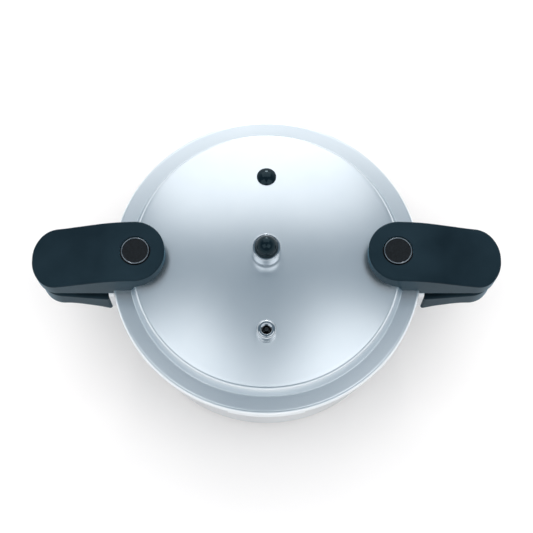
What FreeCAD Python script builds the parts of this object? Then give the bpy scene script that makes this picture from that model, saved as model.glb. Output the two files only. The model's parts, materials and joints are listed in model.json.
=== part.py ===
"""Stovetop pressure cooker: a drawn aluminium pot with an outer bayonet lid and four side handles.

Millimetres, +Z up. The origin is the centre of the base's underside, +X runs through the right
handles and -Y is the front. The lid is shown locked, with its handles over the pot's.
"""
import FreeCAD, Part
import os
from math import atan2, cos, degrees, hypot, radians, sin, sqrt, tan
from FreeCAD import Vector

# Pot
POT_HEIGHT = 112.5
POT_RADIUS = 134.0
WALL_TAPER = 4.0
POT_WALL = 3.0
POT_FLOOR = 4.0
POT_CORNER = 28.0
RIM_OVERHANG = 1.0
RIM_THICKNESS = 3.0

# Bayonet: lugs on the pot's rim, teeth on the lid's skirt
LUG_COUNT = 6
LUG_SPREAD = 28.0
LUG_REACH = 4.2
TOOTH_THICKNESS = 2.6
TOOTH_DROP = 4.4

# Lid
LID_GAUGE = 2.7
BAND_WIDTH = 15.8
STEP_RISE = 10.5
STEP_RUN = 4.6
DOME_RISE = 11.0
EDGE_INNER_FILLET = 0.3
STEP_INNER_FILLET = 0.5
STEP_ROOT_FILLET = 1.2

# Sealing ring
SEAL_HEIGHT = 4.5
SEAL_WIDTH = 12.0
SEAL_SLOT_HEIGHT = 1.3
SEAL_SLOT_DEPTH = 7.0

# Upper handles, measured outwards and inwards from the lid's skirt
HANDLE_REACH = 72.7
HANDLE_OVERLAP = 51.0
HANDLE_HALF_WIDTH = 28.6
HANDLE_INNER_RADIUS = 28.0
HANDLE_DRAFT = 0.4
HANDLE_CROWN = 28.6
HANDLE_LEVEL = 18.0
HANDLE_BROW_RADIUS = 120.0
HANDLE_TIP_CROWN = 8.5
HANDLE_TIP_LENGTH = 20.0
HANDLE_TIP_FALL = 1.5
HANDLE_TIP_RADIUS = 90.0
HANDLE_UNDERSIDE = 10.0
HANDLE_EDGE_FILLET = 2.0
HANDLE_LIP_WIDTH = 3.5
HANDLE_LIP_DROP = 6.5
HANDLE_LIP_INSET = 3.0
NOSE_LENGTH = 12.9
NOSE_FLAT = 0.41
NOSE_BLEND = 0.49

# Badges in the upper handles
BADGE_INSET = 24.5
BADGE_POCKET_RADIUS = 14.0
BADGE_POCKET_DEPTH = 5.0
BADGE_RING_RADIUS = 12.6
BADGE_RING_WALL = 1.0
BADGE_RING_PROUD = 0.3
BADGE_RING_BEAD = 0.4
BADGE_FLANGE = 1.2
BADGE_SINK = 0.4
BADGE_EDGE = 0.3

# Straps that hold the upper handles to the lid
STRAP_GAUGE = 2.5
STRAP_HALF_WIDTH = 12.0
STRAP_LENGTH = 36.0
STRAP_SHIFT = 3.0
STRAP_SCREW_RADIUS = 3.0
STRAP_RIVET_OFFSET = 11.5
STRAP_NUT_FLATS = 10.0
STRAP_NUT_HEIGHT = 5.0
STRAP_SEAT_WALL = 3.5

# Lower handles
LOWER_HANDLE_GAP = 3.0
LOWER_HANDLE_WEDGE = 13.0
LOWER_HANDLE_DEPTH = 26.0
LOWER_HANDLE_SLOPE = 10.0
LOWER_HANDLE_SLOPE_RUN = 34.0
LOWER_HANDLE_FLARE = 9.0
LOWER_HANDLE_FLARE_RUN = 13.0
LOWER_HANDLE_REACH = 79.0
LOWER_HANDLE_STANDOFF = 13.0
LOWER_HANDLE_HALF_WIDTH = 28.2
LOWER_HANDLE_TIP_LENGTH = 14.0
LOWER_HANDLE_TIP_RADIUS = 12.0
LOWER_HANDLE_SWEEP_RADIUS = 60.0
LOWER_HANDLE_SLOPE_RADIUS = 40.0
LOWER_HANDLE_FLARE_RADIUS = 30.0
LOWER_HANDLE_EDGE_FILLET = 2.5

# Saddles on the pot's wall, their tongues, and the flame guards
TONGUE_THICKNESS = 4.0
TONGUE_HALF_WIDTH = 9.0
TONGUE_LENGTH = 45.0
TONGUE_DROP = 6.0
SADDLE_GAUGE = 2.5
SADDLE_HALF_WIDTH = 22.0
SADDLE_HEIGHT = 20.0
GUARD_GAUGE = 1.2
GUARD_MARGIN = 1.5
GUARD_RISE = 8.0
GUARD_CORNER = 6.0
LOWER_SCREW_RADIUS = 2.5
LOWER_SCREW_INSET = 12.0
LOWER_SEAT_WALL = 2.0
LOWER_NUT_FLATS = 8.0
LOWER_NUT_HEIGHT = 4.0
LOWER_NUT_HEADROOM = 1.2

# Rivets and screws
RIVET_RADIUS = 2.4
RIVET_HEAD_SPREAD = 1.8
RIVET_HEAD_RISE = 0.9
RIVET_HEAD_ROUND = 0.63
RIVET_HEAD_SINK = 1.0
RIVET_SHANK_ENTRY = 0.5
WALL_RIVET_SPREAD = 16.0
WALL_RIVET_ROW = 6.0
SCREW_HEAD_HEIGHT = 3.0
SCREW_HEAD_SPREAD = 2.0
SCREW_TIP = 0.5
DRIVER_SLOT_WIDTH = 1.4
DRIVER_SLOT_DEPTH = 1.2

# Vent pipe, its fastening and its strainer
VENT_PIPE_RADIUS = 3.6
VENT_BORE_RADIUS = 1.5
VENT_PIPE_HEIGHT = 14.5
VENT_COLLAR_FLATS = 12.0
VENT_COLLAR_HEIGHT = 2.5
VENT_SHANK_RADIUS = 5.0
VENT_SHANK_LENGTH = 12.0
VENT_SEAL_RADIUS = 9.0
VENT_SEAL_HEIGHT = 1.8
VENT_NUT_FLATS = 15.0
VENT_NUT_HEIGHT = 4.0
SEAT_DEPTH = 1.5
SEAT_RADIUS = 2.6
STRAINER_LENGTH = 11.0
STRAINER_WALL = 1.2
STRAINER_CORNER = 2.0
STRAINER_HOLLOW_RADIUS = 4.2
STRAINER_SLOTS = 4
STRAINER_SLOT_WIDTH = 1.4
STRAINER_SLOT_HEIGHT = 4.0
STRAINER_SLOT_LOW = 2.0

# Pressure regulator: a weight with a knob and a needle
WEIGHT_RADIUS = 13.0
WEIGHT_HEIGHT = 16.0
WEIGHT_FOOT_TAPER = 0.8
WEIGHT_FOOT_HEIGHT = 3.0
WEIGHT_FOOT_EDGE = 0.6
WEIGHT_WAIST_RADIUS = 2.0
WEIGHT_RIM_EDGE = 1.0
WEIGHT_RIM_WALL = 1.8
WEIGHT_RECESS_DEPTH = 1.5
WEIGHT_HOLLOW_RADIUS = 9.0
WEIGHT_HOLLOW_DEPTH = 4.0
KNOB_RADIUS = 9.6
KNOB_HEIGHT = 12.0
KNOB_CROWN_RADIUS = 6.5
KNOB_COLLAR_HEIGHT = 2.2
KNOB_COLLAR_EDGE = 0.8
KNOB_NECK_RISE = 1.2
KNOB_NECK_RADIUS = 0.6
NEEDLE_TIP = 0.7
NEEDLE_HOLD = 4.0

# Safety valve, on the lid's centre line in front of the vent
VALVE_OFFSET = 74.0
VALVE_RADIUS = 9.0
VALVE_HEIGHT = 13.8
VALVE_ROOT = 2.0
VALVE_FOOT_HEIGHT = 2.2
VALVE_RIB_HEIGHT = 1.8
VALVE_RIB_EDGE = 0.6
VALVE_GROOVE_DEPTH = 1.1
VALVE_GROOVE_HEIGHT = 1.1
VALVE_GROOVE_EDGE = 0.3
VALVE_CAP_HEIGHT = 5.0
VALVE_CAP_EDGE = 2.4
VALVE_SHANK_RADIUS = 6.0
VALVE_SHANK_LENGTH = 11.0
VALVE_CHAMBER_RADIUS = 5.2
VALVE_FLOOR_HEIGHT = 1.5
VALVE_INLET_RADIUS = 2.8
VALVE_MOUTH_RADIUS = 3.6
VALVE_FUNNEL_WIDTH = 1.6
VALVE_FUNNEL_DEPTH = 2.0
VALVE_FUNNEL_EDGE = 0.4
VALVE_GASKET_RADIUS = 9.5
VALVE_GASKET_HEIGHT = 2.5
VALVE_NUT_FLATS = 16.0
VALVE_NUT_HEIGHT = 4.0
VALVE_DISC_HEIGHT = 1.0
VALVE_DISC_MARGIN = 0.6
PIN_RADIUS = 1.9
PIN_SHOULDER_HEIGHT = 1.5
PIN_DEPTH = 1.6
PIN_EDGE = 0.6
SPRING_WIRE = 0.9
SPRING_TURNS = 4.0
SPRING_CLEARANCE = 0.5
SPRING_PLAY = 0.05

# Relief plug, on the lid's centre line behind the vent
PLUG_OFFSET = 77.4
PLUG_RADIUS = 9.0
PLUG_RISE = 3.2
PLUG_EDGE = 0.6
PLUG_ROOT = 2.0
PLUG_NECK_RADIUS = 4.8
PLUG_NECK_LENGTH = 5.5
PLUG_FLANGE_RADIUS = 7.2
PLUG_FLANGE_HEIGHT = 2.6

# Clearances
SEAL_CLEARANCE = 0.3
BAYONET_CLEARANCE = 0.3
SKIRT_CLEARANCE = 1.1
TOOTH_CLEARANCE = 0.5
SLIDING_CLEARANCE = 0.06
ASSEMBLY_CLEARANCE = 0.2
WEIGHT_CLEARANCE = 0.7
KNOB_CLEARANCE = 0.5
VENT_TOP_CLEARANCE = 0.6

# Heights and radii that follow from the above
RIM_RADIUS = POT_RADIUS + RIM_OVERHANG
LUG_RADIUS = RIM_RADIUS + LUG_REACH
LUG_PITCH = 360.0 / LUG_COUNT
LID_RADIUS = LUG_RADIUS + SKIRT_CLEARANCE + LID_GAUGE
SEAL_LOW = POT_HEIGHT + SEAL_CLEARANCE
BAND_LOW = SEAL_LOW + SEAL_HEIGHT
BAND_TOP = BAND_LOW + LID_GAUGE
STEP_ROOT_RADIUS = LID_RADIUS - BAND_WIDTH
SHOULDER_RADIUS = STEP_ROOT_RADIUS - STEP_RUN
SHOULDER_TOP = BAND_TOP + STEP_RISE
LID_TOP = SHOULDER_TOP + DOME_RISE
DOME_RADIUS = (SHOULDER_RADIUS ** 2 + DOME_RISE ** 2) / (2 * DOME_RISE)
TOOTH_TOP = POT_HEIGHT - RIM_THICKNESS - BAYONET_CLEARANCE
SKIRT_LOW = TOOTH_TOP - TOOTH_THICKNESS
BADGE_X = LID_RADIUS - BADGE_INSET
HANDLE_TOP = BAND_TOP + HANDLE_CROWN
HANDLE_LOW = BAND_TOP - HANDLE_UNDERSIDE
SCREW_SEAT = HANDLE_TOP - BADGE_POCKET_DEPTH - STRAP_SEAT_WALL
LOWER_INNER = POT_RADIUS + LOWER_HANDLE_STANDOFF
LOWER_TIP_TOP = HANDLE_LOW - LOWER_HANDLE_GAP
LOWER_TIP_LOW = LOWER_TIP_TOP - LOWER_HANDLE_DEPTH
LOWER_TOP = LOWER_TIP_TOP - LOWER_HANDLE_WEDGE
LOWER_BEND = LOWER_TIP_LOW - LOWER_HANDLE_SLOPE
LOWER_LOW = LOWER_BEND - LOWER_HANDLE_FLARE
TONGUE_MIDDLE = LOWER_TOP - TONGUE_DROP
TONGUE_LOW = TONGUE_MIDDLE - TONGUE_THICKNESS / 2
TONGUE_HIGH = TONGUE_LOW + TONGUE_THICKNESS
LOWER_SCREW_X = LOWER_INNER + TONGUE_LENGTH - LOWER_SCREW_INSET
LOWER_SEAT = TONGUE_LOW - LOWER_SEAT_WALL
VENT_TOP = LID_TOP + VENT_PIPE_HEIGHT
VENT_SEAL_LOW = LID_TOP - LID_GAUGE - VENT_SEAL_HEIGHT
VENT_NUT_LOW = VENT_SEAL_LOW - VENT_NUT_HEIGHT
WEIGHT_LOW = LID_TOP + WEIGHT_CLEARANCE
WEIGHT_TOP = WEIGHT_LOW + WEIGHT_HEIGHT
WEIGHT_RECESS = WEIGHT_TOP - WEIGHT_RECESS_DEPTH

UP = Vector(0, 0, 1)
ORIGIN = Vector(0, 0, 0)
OVERCUT = 1.0
MATCH = 0.01
TOUCH = 1e-6
CREASE = 0.9


# ---------------------------------------------------------------- shared shapes

def flat(u, v):
    return Vector(u, v, 0)


def upright(u, v):
    return Vector(u, 0, v)


def facing_out(u, v):
    return Vector(0, u, v)


def outline(corners, plane):
    """Closed wire through corners (u, v) or (u, v, radius), with each radius as a tangent arc."""
    points = [Vector(corner[0], corner[1], 0) for corner in corners]
    radii = [corner[2] if len(corner) > 2 else 0.0 for corner in corners]
    rounded = []
    for index, point in enumerate(points):
        if radii[index] == 0:
            rounded.append((point, None, point))
            continue
        back = (points[index - 1] - point).normalize()
        ahead = (points[(index + 1) % len(points)] - point).normalize()
        half = back.getAngle(ahead) / 2
        reach = radii[index] / tan(half)
        inward = (back + ahead).normalize()
        middle = point + inward * (radii[index] / sin(half) - radii[index])
        rounded.append((point + back * reach, middle, point + ahead * reach))
    edges = []
    for index, (start, middle, end) in enumerate(rounded):
        if middle is not None:
            arc_points = [plane(p.x, p.y) for p in (start, middle, end)]
            edges.append(Part.Arc(*arc_points).toShape())
        following = rounded[(index + 1) % len(rounded)][0]
        if following.distanceToPoint(end) > TOUCH:
            edges.append(Part.makeLine(plane(end.x, end.y), plane(following.x, following.y)))
    return Part.Wire(edges)


def turned(corners):
    """Solid of revolution about Z from a profile of (radius, height) corners."""
    return Part.Face(outline(corners, upright)).revolve(ORIGIN, UP, 360)


def prism(corners, low, high):
    """Plan outline carried up from one height to another."""
    face = Part.Face(outline(corners, flat))
    face.translate(Vector(0, 0, low))
    return face.extrude(Vector(0, 0, high - low))


def crosswise(corners, half_width):
    """Side outline of (x, z) corners carried across from -Y to +Y."""
    face = Part.Face(outline(corners, upright))
    face.translate(Vector(0, -half_width, 0))
    return face.extrude(Vector(0, 2 * half_width, 0))


def rod(radius, low, high, x=0.0, y=0.0):
    return Part.makeCylinder(radius, high - low, Vector(x, y, low))


def block(x_low, x_high, half_width, z_low, z_high):
    corner = Vector(x_low, -half_width, z_low)
    return Part.makeBox(x_high - x_low, 2 * half_width, z_high - z_low, corner)


def hexagon(across_flats, low, high):
    radius = across_flats / sqrt(3)
    angles = [radians(60 * index) for index in range(6)]
    return prism([(radius * cos(angle), radius * sin(angle)) for angle in angles], low, high)


def sector(inner, outer, low, high, middle, spread):
    """Part of a ring between two radii and two heights, centred on an angle in degrees."""
    wedge = Part.makeCylinder(outer, high - low, Vector(0, 0, low), UP, spread)
    wedge.rotate(ORIGIN, UP, middle - spread / 2)
    return wedge.cut(rod(inner, low - OVERCUT, high + OVERCUT))


def moved(shape, x=0.0, y=0.0, z=0.0):
    copy = shape.copy()
    copy.translate(Vector(x, y, z))
    return copy


def mirrored(shape):
    """The same piece on the other side, across the YZ plane."""
    return shape.mirror(ORIGIN, Vector(1, 0, 0))


def circle_edges(solid, radius, height):
    """The horizontal circular edges of one radius at one height."""
    found = []
    for edge in solid.Edges:
        if edge.Degenerated or not isinstance(edge.Curve, Part.Circle):
            continue
        if abs(edge.Curve.Radius - radius) < MATCH and abs(edge.Curve.Center.z - height) < MATCH:
            found.append(edge)
    return found


def soften(solid, radius):
    """Round the edges that run round a handle between its side wall and its other faces."""
    chosen = []
    for edge in solid.Edges:
        normals = edge_normals(solid, edge)
        if normals is not None and abs(normals[0].dot(normals[1])) < CREASE:
            chosen.append(edge)
    return solid.makeFillet(radius, chosen)


def edge_normals(solid, edge):
    """The two faces' normals at an edge's middle."""
    middle = edge.valueAt((edge.FirstParameter + edge.LastParameter) / 2)
    normals = []
    for face in solid.ancestorsOfType(edge, Part.Face):
        u, v = face.Surface.parameter(middle)
        normals.append(face.normalAt(u, v))
    return normals if len(normals) == 2 else None


def save(name, *solids):
    """Write one node: a single piece, or a group of like pieces."""
    shape = solids[0] if len(solids) == 1 else Part.makeCompound(list(solids))
    shape.exportStep("parts/" + name + ".step")


def save_pair(name, right):
    """Write a right-hand piece and its mirror image as two nodes."""
    save("right_" + name, right)
    save("left_" + name, mirrored(right))


# ---------------------------------------------------------------- pot and lid forms

def pot_radius(height, offset):
    """Radius of the tapered wall at a height, offset outwards from its outer face."""
    return POT_RADIUS - WALL_TAPER * (1 - height / POT_HEIGHT) + offset


def pot_form(offset, low, high):
    """Solid inside the pot's outer face, moved outwards by an offset."""
    corners = [(0, low), (pot_radius(low, offset), low, POT_CORNER + offset)]
    corners += [(pot_radius(high, offset), high), (0, high)]
    return turned(corners)


def dome_height(radius):
    """Height of the lid's outer face on the dome."""
    return LID_TOP - DOME_RADIUS + sqrt(DOME_RADIUS ** 2 - radius ** 2)


def lid_form(inset, low):
    """Solid under the lid's outer face, drawn in by an inset and closed off at a height."""
    slope = atan2(STEP_RUN, STEP_RISE)
    step_shift = inset * (1 - sin(slope)) / cos(slope)
    root = STEP_ROOT_RADIUS - step_shift
    shoulder = SHOULDER_RADIUS - step_shift
    edge = LID_RADIUS - inset
    bow = (shoulder ** 2 + DOME_RISE ** 2) / (2 * DOME_RISE)
    middle_drop = bow - sqrt(bow ** 2 - shoulder ** 2 / 4)
    top = [Vector(0, 0, LID_TOP - inset)]
    top.append(Vector(shoulder / 2, 0, LID_TOP - inset - middle_drop))
    top.append(Vector(shoulder, 0, SHOULDER_TOP - inset))
    path = [top[2], Vector(root, 0, BAND_TOP - inset), Vector(edge, 0, BAND_TOP - inset)]
    path += [Vector(edge, 0, low), Vector(0, 0, low), top[0]]
    wire = Part.Wire([Part.Arc(*top).toShape()] + Part.makePolygon(path).Edges)
    solid = Part.Face(wire).revolve(ORIGIN, UP, 360)
    roundings = [(shoulder, SHOULDER_TOP - inset, LID_GAUGE + STEP_INNER_FILLET - inset)]
    roundings.append((root, BAND_TOP - inset, STEP_ROOT_FILLET + inset))
    roundings.append((edge, BAND_TOP - inset, LID_GAUGE + EDGE_INNER_FILLET - inset))
    for radius, height, fillet in roundings:
        if fillet > 0:
            solid = solid.makeFillet(fillet, circle_edges(solid, radius, height))
    return solid


def nose(outer, half):
    """Plan corners of a handle's rounded outer end, from its front side round to its back."""
    level = half * NOSE_FLAT
    turn = atan2(half - level, NOSE_LENGTH)
    reach = NOSE_BLEND * hypot(half - level, NOSE_LENGTH)
    side_radius = reach / tan(turn / 2)
    tip_radius = reach / tan((radians(90) - turn) / 2)
    corners = [(outer - NOSE_LENGTH, -half, side_radius), (outer, -level, tip_radius)]
    return corners + [(x, -y, radius) for x, y, radius in reversed(corners)]


# ---------------------------------------------------------------- pot

def bayonet_angles():
    """Middle of each locked lug and tooth, in degrees from +X."""
    return [LUG_PITCH * (index + 0.5) for index in range(LUG_COUNT)]


def pot_body():
    outer = pot_form(0, 0, POT_HEIGHT)
    inner = pot_form(-POT_WALL, POT_FLOOR, POT_HEIGHT + OVERCUT)
    shell = outer.cut(inner)
    rim_low = POT_HEIGHT - RIM_THICKNESS
    inside = POT_RADIUS - POT_WALL / 2
    shell = shell.fuse(sector(inside, RIM_RADIUS, rim_low, POT_HEIGHT, 0, 360))
    for angle in bayonet_angles():
        shell = shell.fuse(sector(inside, LUG_RADIUS, rim_low, POT_HEIGHT, angle, LUG_SPREAD))
    return shell.removeSplitter()


def drilled(solid, both_sides):
    """A solid with the wall rivets' holes, on the right or on both sides."""
    for hole in wall_rivet_holes():
        solid = solid.cut(hole)
        if both_sides:
            solid = solid.cut(mirrored(hole))
    return solid


def saddle():
    """Curved plate on the pot's wall, with a tongue that runs out into the lower handle."""
    low = TONGUE_MIDDLE - SADDLE_HEIGHT / 2
    plate = pot_form(SADDLE_GAUGE, 0, POT_HEIGHT).cut(pot_form(0, 0, POT_HEIGHT))
    edge = POT_RADIUS + SADDLE_GAUGE + OVERCUT
    plate = plate.common(block(0, edge, SADDLE_HALF_WIDTH, low, low + SADDLE_HEIGHT))
    reach = LOWER_INNER + TONGUE_LENGTH
    tongue = block(POT_RADIUS, reach, TONGUE_HALF_WIDTH, TONGUE_LOW, TONGUE_HIGH)
    bore = rod(LOWER_SCREW_RADIUS + ASSEMBLY_CLEARANCE, 0, POT_HEIGHT, LOWER_SCREW_X)
    return plate.fuse(tongue.cut(pot_form(0, 0, POT_HEIGHT))).removeSplitter().cut(bore)


def in_wall(shape, side, height):
    """Turn a shape that stands on Z to point outwards through the right-hand wall at a rivet."""
    placed = shape.copy()
    placed.rotate(ORIGIN, Vector(0, 1, 0), 90)
    placed.rotate(ORIGIN, UP, side * degrees(atan2(WALL_RIVET_SPREAD, POT_RADIUS)))
    placed.translate(Vector(0, 0, height))
    return placed


def wall_rivet_places():
    rows = (TONGUE_MIDDLE - WALL_RIVET_ROW, TONGUE_MIDDLE + WALL_RIVET_ROW)
    return [(side, height) for side in (-1, 1) for height in rows]


def wall_rivet_holes():
    hole = rod(RIVET_RADIUS, POT_RADIUS / 2, POT_RADIUS * 1.5)
    return [in_wall(hole, side, height) for side, height in wall_rivet_places()]


def rivet_head(low):
    """Low dome wider than the shank, standing on a height."""
    radius = RIVET_RADIUS * RIVET_HEAD_SPREAD
    high = low + RIVET_RADIUS * RIVET_HEAD_RISE
    return turned([(0, low), (radius, low), (radius, high, RIVET_RADIUS * RIVET_HEAD_ROUND), (0, high)])


def wall_rivets():
    """Domed rivets through the right-hand saddle and the pot's wall."""
    wall = pot_form(SADDLE_GAUGE, 0, POT_HEIGHT).cut(pot_form(-POT_WALL, 0, POT_HEIGHT))
    rivets = []
    for side, height in wall_rivet_places():
        inside = pot_radius(height, -POT_WALL)
        outside = pot_radius(height, SADDLE_GAUGE)
        outer = rivet_head(outside - RIVET_HEAD_SINK)
        inner = moved(rivet_head(0).mirror(ORIGIN, UP), z=inside + RIVET_HEAD_SINK)
        heads = in_wall(outer.fuse(inner), side, height).cut(wall)
        shank = rod(RIVET_RADIUS, inside - RIVET_SHANK_ENTRY, outside + RIVET_SHANK_ENTRY)
        rivets.append(heads.fuse(in_wall(shank, side, height)))
    return rivets


def guard_section(margin):
    """Outline (y, z) of the flame guard around the tongue, grown by a margin, as a face."""
    half = LOWER_HANDLE_HALF_WIDTH - GUARD_MARGIN + margin
    low = LOWER_LOW + GUARD_MARGIN - margin
    high = LOWER_TOP + GUARD_RISE + margin
    corner = GUARD_CORNER + margin
    corners = [(-half, low, corner), (half, low, corner), (half, high, corner), (-half, high, corner)]
    return Part.Face(outline(corners, facing_out))


def flame_guard():
    """Thin metal collar between the pot's wall and the lower handle's inner end."""
    start = POT_RADIUS / 2
    length = Vector(LOWER_INNER - start, 0, 0)
    collar = guard_section(0).extrude(length).cut(guard_section(-GUARD_GAUGE).extrude(length))
    return moved(collar, x=start).cut(pot_form(0, 0, POT_HEIGHT))


# ---------------------------------------------------------------- lower handles

def lower_handle():
    """Moulded handle: a wedge beside the pot that rises to a level grip under the upper handle."""
    outer = POT_RADIUS + LOWER_HANDLE_REACH
    side = [(LOWER_INNER, LOWER_TOP)]
    side.append((outer - LOWER_HANDLE_TIP_LENGTH, LOWER_TIP_TOP, LOWER_HANDLE_SWEEP_RADIUS))
    side += [(outer, LOWER_TIP_TOP), (outer, LOWER_TIP_LOW, LOWER_HANDLE_TIP_RADIUS)]
    side.append((LOWER_INNER + LOWER_HANDLE_SLOPE_RUN, LOWER_TIP_LOW, LOWER_HANDLE_SLOPE_RADIUS))
    side.append((LOWER_INNER + LOWER_HANDLE_FLARE_RUN, LOWER_BEND, LOWER_HANDLE_FLARE_RADIUS))
    side.append((LOWER_INNER, LOWER_LOW))
    half = LOWER_HANDLE_HALF_WIDTH
    plan = [(LOWER_INNER, -half)] + nose(outer, half) + [(LOWER_INNER, half)]
    handle = crosswise(side, half + OVERCUT).common(prism(plan, 0, BAND_TOP))
    handle = soften(handle, LOWER_HANDLE_EDGE_FILLET)
    clear = ASSEMBLY_CLEARANCE
    slot_end = LOWER_INNER + TONGUE_LENGTH + clear
    nut_top = TONGUE_HIGH + LOWER_NUT_HEIGHT + LOWER_NUT_HEADROOM
    hollows = [block(LOWER_INNER - OVERCUT, slot_end, TONGUE_HALF_WIDTH + clear,
                     TONGUE_LOW - clear, TONGUE_HIGH + clear)]
    hollows.append(moved(hexagon(LOWER_NUT_FLATS + 2 * clear, TONGUE_HIGH, nut_top), x=LOWER_SCREW_X))
    hollows.append(rod(LOWER_SCREW_RADIUS + clear, 0, nut_top + LOWER_NUT_HEADROOM, LOWER_SCREW_X))
    hollows.append(rod(LOWER_SCREW_RADIUS * SCREW_HEAD_SPREAD + clear, 0, LOWER_SEAT, LOWER_SCREW_X))
    for hollow in hollows:
        handle = handle.cut(hollow)
    return handle


def driver_slot(low, radius):
    """Slot across a screw head, from a height upwards."""
    size = (4 * radius, DRIVER_SLOT_WIDTH, DRIVER_SLOT_DEPTH + OVERCUT)
    return Part.makeBox(*size, Vector(-2 * radius, -DRIVER_SLOT_WIDTH / 2, low))


def lower_screw():
    head_radius = LOWER_SCREW_RADIUS * SCREW_HEAD_SPREAD
    low = LOWER_SEAT - SCREW_HEAD_HEIGHT
    head = rod(head_radius, low, LOWER_SEAT).cut(driver_slot(low - OVERCUT, head_radius))
    shank = rod(LOWER_SCREW_RADIUS, LOWER_SEAT, TONGUE_HIGH + LOWER_NUT_HEIGHT + SCREW_TIP)
    return moved(head.fuse(shank), x=LOWER_SCREW_X)


def lower_nut():
    nut = hexagon(LOWER_NUT_FLATS, TONGUE_HIGH, TONGUE_HIGH + LOWER_NUT_HEIGHT)
    return moved(nut.cut(rod(LOWER_SCREW_RADIUS, 0, POT_HEIGHT)), x=LOWER_SCREW_X)


# ---------------------------------------------------------------- lid

def lid_shell():
    shell = lid_form(0, SKIRT_LOW).cut(lid_form(LID_GAUGE, SKIRT_LOW - OVERCUT))
    inside = LID_RADIUS - LID_GAUGE
    for angle in bayonet_angles():
        window = sector(inside - OVERCUT, LID_RADIUS + OVERCUT, SKIRT_LOW - OVERCUT,
                        SKIRT_LOW + TOOTH_DROP, angle + LUG_PITCH / 2, LUG_PITCH - LUG_SPREAD)
        shell = shell.cut(window)
    for angle in bayonet_angles():
        tooth = sector(RIM_RADIUS + TOOTH_CLEARANCE, inside + LID_GAUGE / 2, SKIRT_LOW,
                       TOOTH_TOP, angle, LUG_SPREAD)
        shell = shell.fuse(tooth)
    shell = shell.removeSplitter()
    holes = [rod(VENT_SHANK_RADIUS, BAND_TOP, LID_TOP + OVERCUT)]
    holes.append(rod(VALVE_SHANK_RADIUS, BAND_TOP, LID_TOP, 0, -VALVE_OFFSET))
    holes.append(at_plug(rod(PLUG_NECK_RADIUS, -BAND_WIDTH, STEP_RISE)))
    for side in (-1, 1):
        for x, y in strap_rivet_places():
            holes.append(rod(RIVET_RADIUS, BAND_TOP, LID_TOP, side * x, y))
    for hole in holes:
        shell = shell.cut(hole)
    return shell


def sealing_ring():
    """Rubber ring under the lid's band, slotted on its inner side so that steam spreads its lips."""
    outer = LID_RADIUS - LID_GAUGE
    inner = outer - SEAL_WIDTH
    slot_low = SEAL_LOW + (SEAL_HEIGHT - SEAL_SLOT_HEIGHT) / 2
    slot_high = slot_low + SEAL_SLOT_HEIGHT
    slot_end = inner + SEAL_SLOT_DEPTH
    corner = EDGE_INNER_FILLET + SEAL_CLEARANCE
    corners = [(inner, SEAL_LOW), (outer, SEAL_LOW), (outer, BAND_LOW, corner), (inner, BAND_LOW)]
    corners += [(inner, slot_high), (slot_end, slot_high), (slot_end, slot_low), (inner, slot_low)]
    return turned(corners)


# ---------------------------------------------------------------- upper handles

def upper_handle():
    """Moulded handle that sits on the dome, steps down over the band and reaches past the skirt."""
    inner = LID_RADIUS - HANDLE_OVERLAP
    outer = LID_RADIUS + HANDLE_REACH
    tip = BAND_TOP + HANDLE_TIP_CROWN
    side = [(inner - OVERCUT, HANDLE_TOP), (BADGE_X + HANDLE_LEVEL, HANDLE_TOP, HANDLE_BROW_RADIUS)]
    side += [(outer - HANDLE_TIP_LENGTH, tip, HANDLE_TIP_RADIUS), (outer, tip - HANDLE_TIP_FALL)]
    side += [(outer + OVERCUT, tip - HANDLE_TIP_FALL), (outer + OVERCUT, HANDLE_LOW)]
    side.append((inner - OVERCUT, HANDLE_LOW))
    body = crosswise(side, HANDLE_HALF_WIDTH + OVERCUT)
    walls = Part.makeLoft([handle_plan(HANDLE_DRAFT, HANDLE_LOW), handle_plan(0, HANDLE_TOP)], True, True)
    body = soften(body.common(walls), HANDLE_EDGE_FILLET).fuse(handle_lip()).removeSplitter()
    clear = ASSEMBLY_CLEARANCE
    hollows = [lid_form(0, 0), strap_space()]
    hollows.append(rod(BADGE_POCKET_RADIUS, HANDLE_TOP - BADGE_POCKET_DEPTH, HANDLE_TOP + OVERCUT, BADGE_X))
    hollows.append(rod(STRAP_SCREW_RADIUS * SCREW_HEAD_SPREAD + clear, SCREW_SEAT, HANDLE_TOP, BADGE_X))
    hollows.append(rod(STRAP_SCREW_RADIUS + clear, BAND_TOP, HANDLE_TOP, BADGE_X))
    hollows.append(moved(hexagon(STRAP_NUT_FLATS + 4 * clear, BAND_TOP, strap_nut_high() + clear), x=BADGE_X))
    for hollow in hollows:
        body = body.cut(hollow)
    return body


def handle_lip():
    """Rib under the handle that hooks down over the lid's skirt."""
    low = HANDLE_LOW - HANDLE_LIP_DROP
    high = HANDLE_LOW + HANDLE_EDGE_FILLET
    half = HANDLE_HALF_WIDTH - HANDLE_LIP_INSET
    ring = sector(LID_RADIUS, LID_RADIUS + HANDLE_LIP_WIDTH, low, high, 0, 360)
    return ring.common(block(0, LID_RADIUS + HANDLE_REACH, half, low, high))


def handle_plan(draft, height):
    """Handle outline in plan, drawn in by a draft."""
    inner = LID_RADIUS - HANDLE_OVERLAP + draft
    half = HANDLE_HALF_WIDTH - draft
    corner = HANDLE_INNER_RADIUS - draft
    corners = [(inner, -half, corner)] + nose(LID_RADIUS + HANDLE_REACH - draft, half)
    wire = outline(corners + [(inner, half, corner)], flat)
    wire.translate(Vector(0, 0, height))
    return wire


def strap_region(margin):
    start = BADGE_X - STRAP_LENGTH / 2 + STRAP_SHIFT - margin
    return block(start, start + STRAP_LENGTH + 2 * margin, STRAP_HALF_WIDTH + margin,
                 BAND_TOP - LID_GAUGE, HANDLE_TOP)


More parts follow.
